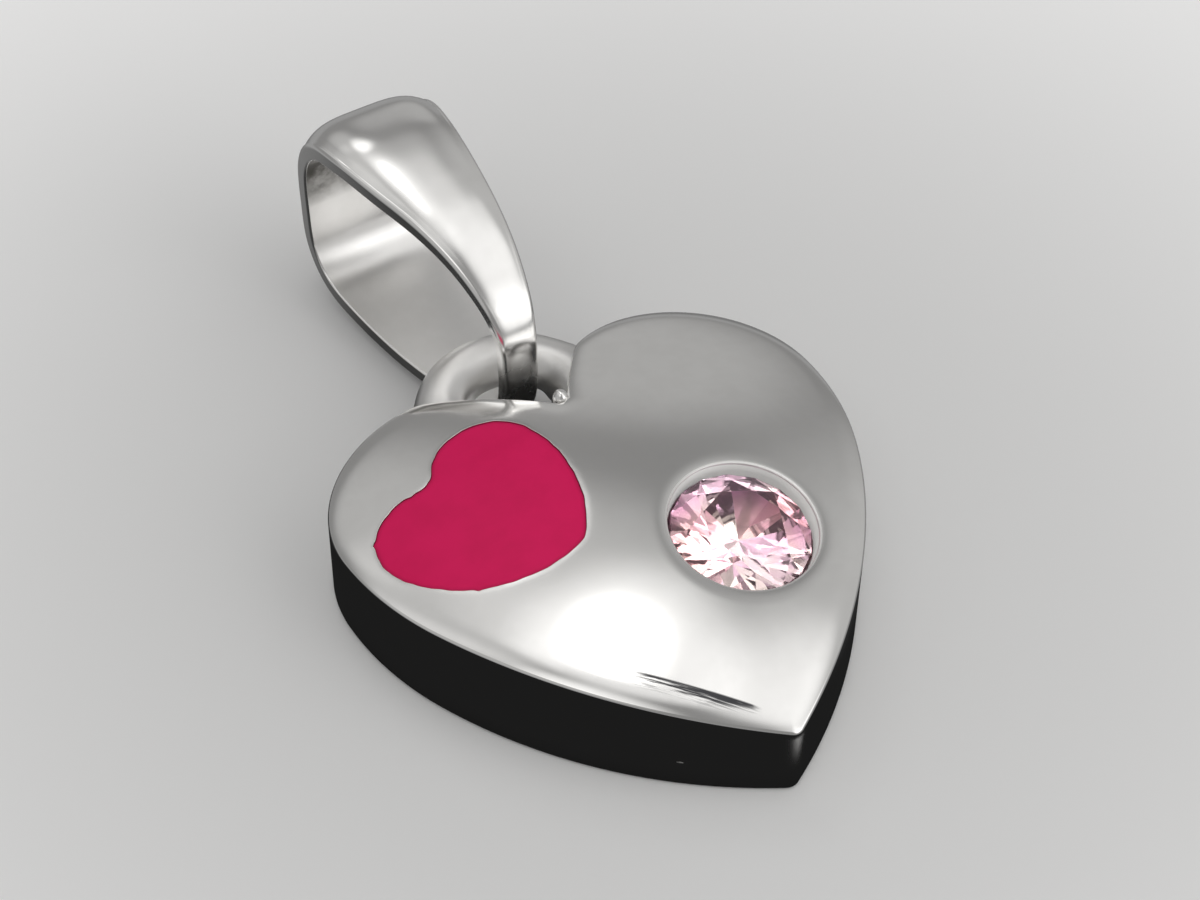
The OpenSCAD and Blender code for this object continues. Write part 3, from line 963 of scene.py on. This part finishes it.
def enamel():
    """Fired enamel: even crimson with faint clouding, tiny pits and a satin surface."""
    m = bpy.data.materials.new("crimson_enamel")
    t = Tree(m)
    mm = t.millimetres()
    cloud = t.noise(mm, 1.1, 3.0, 0.55)
    speck = t.noise(mm, 22.0, 2.0, 0.5)
    colour = t.mix(t.span(cloud, 0.3, 0.7), CRIMSON, CRIMSON_LIGHT)
    colour = t.mix(t.attribute("crevice"), colour, CRIMSON_EDGE)
    pits = t.span(speck, 0.68, 0.76)
    rough = t.add(t.span(cloud, 0.3, 0.7, 0.36, 0.44), t.times(pits, 0.2))
    height = t.math("SUBTRACT", t.times(speck, 0.3), pits)
    fine = t.bump(height, 0.003, 0.5, t.bump(cloud, 0.02, 0.4))
    t.surface({
        "Base Color": colour, "Roughness": rough, "Normal": fine, "Specular IOR Level": 0.14, "IOR": 1.5,
    })
    return m


# Tints of the facets, rows of [random value of the facet, colour], and the colour of the haze over them
FACET_TINTS = [(0.0, (1.0, 0.42, 0.52, 1)), (0.45, (1.0, 0.5, 0.72, 1)), (1.0, (1.0, 0.88, 0.8, 1))]
HAZE = (1.0, 0.72, 0.78, 1)
# Painted light across the stone, each tint along a direction in plan between two places in mm: a peach lit
# side on the left, a deeper rose side on the right, a dark mauve painted shade at the back and a cream
# painted reflection at the front; rows of [direction, start, end, share at the start, share at the end,
# colour]
TO_LEFT, TO_FRONT = (-0.85, 0.53, 0), (0, -1, 0)
STONE_PAINTED_LIGHT = [
    (TO_LEFT, 0.2, 1.4, 0.0, 0.8, (1.0, 0.56, 0.42, 1)),
    (TO_LEFT, -1.3, -0.3, 0.8, 0.0, (1.0, 0.34, 0.5, 1)),
    (TO_FRONT, -1.2, -0.2, 0.85, 0.0, (0.66, 0.3, 0.6, 1)),
    (TO_FRONT, 0.3, 1.2, 0.0, 0.85, (1.0, 0.93, 0.78, 1)),
]


def gem():
    """Pale pink cut stone: its facets carry different tints, with painted light by side over them, peach,
    rose, a dark mauve shade and a cream reflection, and faint polishing marks."""
    m = bpy.data.materials.new("pink_gem")
    t = Tree(m)
    mm = t.millimetres()
    ramp = t("ShaderNodeValToRGB", {0: t.attribute("facet")})
    stops = ramp.color_ramp.elements
    stops.new(0.5)
    for stop, (position, tint) in zip(stops, FACET_TINTS):
        stop.position, stop.color = position, tint
    colour = t.mix(t.span(t.noise(mm, 3.0, 2.0), 0.4, 0.7, 0.0, 0.3), ramp.outputs[0], HAZE)
    near = t.vector("SUBTRACT", mm, (*STONE_AT, 0))
    # Painted light by side: peach on the left, rose on the right, a dark mauve shade at the back, a cream
    # reflection at the front
    for way, start, end, before, after, tint in STONE_PAINTED_LIGHT:
        share = t.span(t.vector("DOT_PRODUCT", near, way), start, end, before, after)
        colour = t.mix(share, colour, tint)
    marks = t.noise(t.stretched(mm, (2, 40, 2), 40), 1.0, 2.0)
    t.surface({
        "Base Color": colour, "Roughness": 0.02, "Normal": t.bump(marks, 0.001, 0.3), "IOR": 2.15,
        "Transmission Weight": 0.95, "Specular Tint": (1.0, 0.72, 0.86, 1),
    })
    return m


def dress(o, material, body, node):
    """Gives a piece its material, says what it rides on and hides the imported part that it stands for."""
    o.data.materials.clear()
    o.data.materials.append(material)
    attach(o, body)
    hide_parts(node)


# Floor, light and camera

FLOOR_GREY = (0.84, 0.84, 0.84, 1)
# Brightness of the floor in reflections, which grows along directions in plan, in metres:
# rows of [direction, start, end, brightness at the end]
FLOOR_GLOW = [
    ((0.6, 0.8, 0), 0.003, 0.01, 0.2),
    ((0, 1, 0), 0.001, 0.006, 0.045),
    ((0.85, -0.53, 0), 0.0055, 0.01, 0.28),
]


def make_floor(radius=0.6, sides=96):
    """Plain pale floor. The metal mirrors it dark close to the pendant, as the photographed floor is."""
    turns = [2 * math.pi * k / sides for k in range(sides)]
    points = [(radius * math.cos(a), radius * math.sin(a), 0) for a in turns]
    mesh = bpy.data.meshes.new("floor")
    mesh.from_pydata(points, [], [list(range(sides))])
    m = bpy.data.materials.new("pale_floor")
    t = Tree(m)
    place = t("ShaderNodeTexCoord").outputs["Object"]
    away = t.vector("LENGTH", place)
    seen = t("ShaderNodeBsdfDiffuse", {"Color": FLOOR_GREY}).outputs[0]
    # The floor glows a little, weakly near the pendant and more further off, which paints a soft shadow round
    # the pendant
    glow_away = t.glow(t.span(away, 0.006, 0.035, 0.02, 0.3))
    pale = t("ShaderNodeAddShader", {0: seen, 1: glow_away}).outputs[0]
    path = t("ShaderNodeLightPath")
    dim = t.span(away, 0.0105, 0.024, 0.012, 0.32)
    for way, start, end, bright in FLOOR_GLOW:
        dim = t.math("MAXIMUM", dim, t.span(t.vector("DOT_PRODUCT", place, way), start, end, 0.0, bright))
    # Behind the heart the floor is bright where it is mirrored twice, as it is within the bail
    again = t.math("GREATER_THAN", path.outputs["Glossy Depth"], 1.5)
    behind = t.span(t.vector("DOT_PRODUCT", place, (0, 1, 0)), 0.003, 0.006, 0.0, 1.3)
    dim = t.math("MAXIMUM", dim, t.times(again, behind))
    both = t("ShaderNodeMixShader", {0: path.outputs["Is Glossy Ray"], 1: pale, 2: t.glow(dim)})
    t("ShaderNodeOutputMaterial", {"Surface": both.outputs[0]})
    mesh.materials.append(m)
    place_object("floor", mesh)


# Soft lights by direction, rows of [azimuth (0 towards -Y, 90 towards +X), elevation, inner half angle,
# outer half angle, strength], and the light from everywhere else
LIGHTS = [
    (150, 82, 1, 10, 1.5),
    (132, 86, 9, 22.5, 0.59),
    (163, 71, 3, 24, 0.22),
    (51, 58, 3, 25, 0.56),
    (62, 25, 30, 62, 0.23),
    (146, 21, 7, 22, 0.17),
    (-167, 35, 3, 20, 0.21),
    (-134, 55, 13, 29, 0.28),
    (-86, 29, 31, 46, 0.17),
    (33, 18, 15, 30, 0.78),
    (-56, 58, 3, 21, 0.72),
    (176, 53, 4, 13, 1.0),
    (20, 38, 6, 18, 0.45),
]
AMBIENT = 0.245
LIGHT_COLOUR = (1, 0.995, 0.985, 1)
BACKDROP = (0.62, 0.62, 0.62, 1)
# How much more light the stone gathers than the metal shows, since the real lamps are brighter than white
STONE_BOOST = 1.95


def direction(azimuth, elevation):
    """Direction from an azimuth and an elevation in degrees."""
    a, e = math.radians(azimuth), math.radians(elevation)
    return math.sin(a) * math.cos(e), -math.cos(a) * math.cos(e), math.sin(e)


def make_light():
    """Studio of soft lights. The camera itself sees a plain backdrop in its place."""
    world = bpy.data.worlds.new("studio")
    bpy.context.scene.world = world
    t = Tree(world)
    way = t("ShaderNodeTexCoord").outputs["Generated"]
    total = AMBIENT
    for azimuth, elevation, inner, outer, strength in LIGHTS:
        dot = t.vector("DOT_PRODUCT", way, direction(azimuth, elevation))
        lobe = t.span(dot, math.cos(math.radians(outer)), math.cos(math.radians(inner)), 0.0, strength)
        total = t.add(lobe, total)
    path = t("ShaderNodeLightPath")
    sparkle = t.add(t.times(path.outputs["Is Transmission Ray"], STONE_BOOST), 1.0)
    studio = t("ShaderNodeBackground", {"Color": LIGHT_COLOUR, "Strength": t.times(total, sparkle)})
    plain = t("ShaderNodeBackground", {"Color": BACKDROP, "Strength": 1.0})
    mixed = {0: path.outputs["Is Camera Ray"], 1: studio.outputs[0], 2: plain.outputs[0]}
    t("ShaderNodeOutputWorld", {"Surface": t("ShaderNodeMixShader", mixed).outputs[0]})
    bpy.context.scene.view_settings.view_transform = "Standard"


CAMERA_AT = (-21.857, -35.463, 48.279)
CAMERA_AZIMUTH, CAMERA_ELEVATION, CAMERA_ROLL = -32.045, 47.644, 0.852
CAMERA_LENS = 85.54


def make_camera():
    """The photograph's camera, solved from the outlines in it."""
    a, roll = math.radians(CAMERA_AZIMUTH), math.radians(CAMERA_ROLL)
    back = Vector(direction(CAMERA_AZIMUTH, CAMERA_ELEVATION))
    right = Vector((math.cos(a), math.sin(a), 0))
    up = back.cross(right)
    x = math.cos(roll) * right + math.sin(roll) * up
    y = math.cos(roll) * up - math.sin(roll) * right
    camera = bpy.data.cameras.new("camera")
    camera.lens = CAMERA_LENS
    camera.sensor_width = 36
    camera.clip_start, camera.clip_end = 0.005, 5
    o = place_object("camera", camera)
    o.matrix_world = Matrix.Translation(Vector(CAMERA_AT) * MM) @ Matrix((x, y, back)).transposed().to_4x4()
    bpy.context.scene.camera = o


make_camera()
make_light()
make_floor()
dress(make_heart_body(), silver("silver_heart", True), "pendant", "heart_body")
dress(make_enamel(), enamel(), "pendant", "enamel_heart")
dress(make_stone(), gem(), "pendant", "pink_stone")
dress(make_bail(), silver("silver_bail"), "bail", "bail")
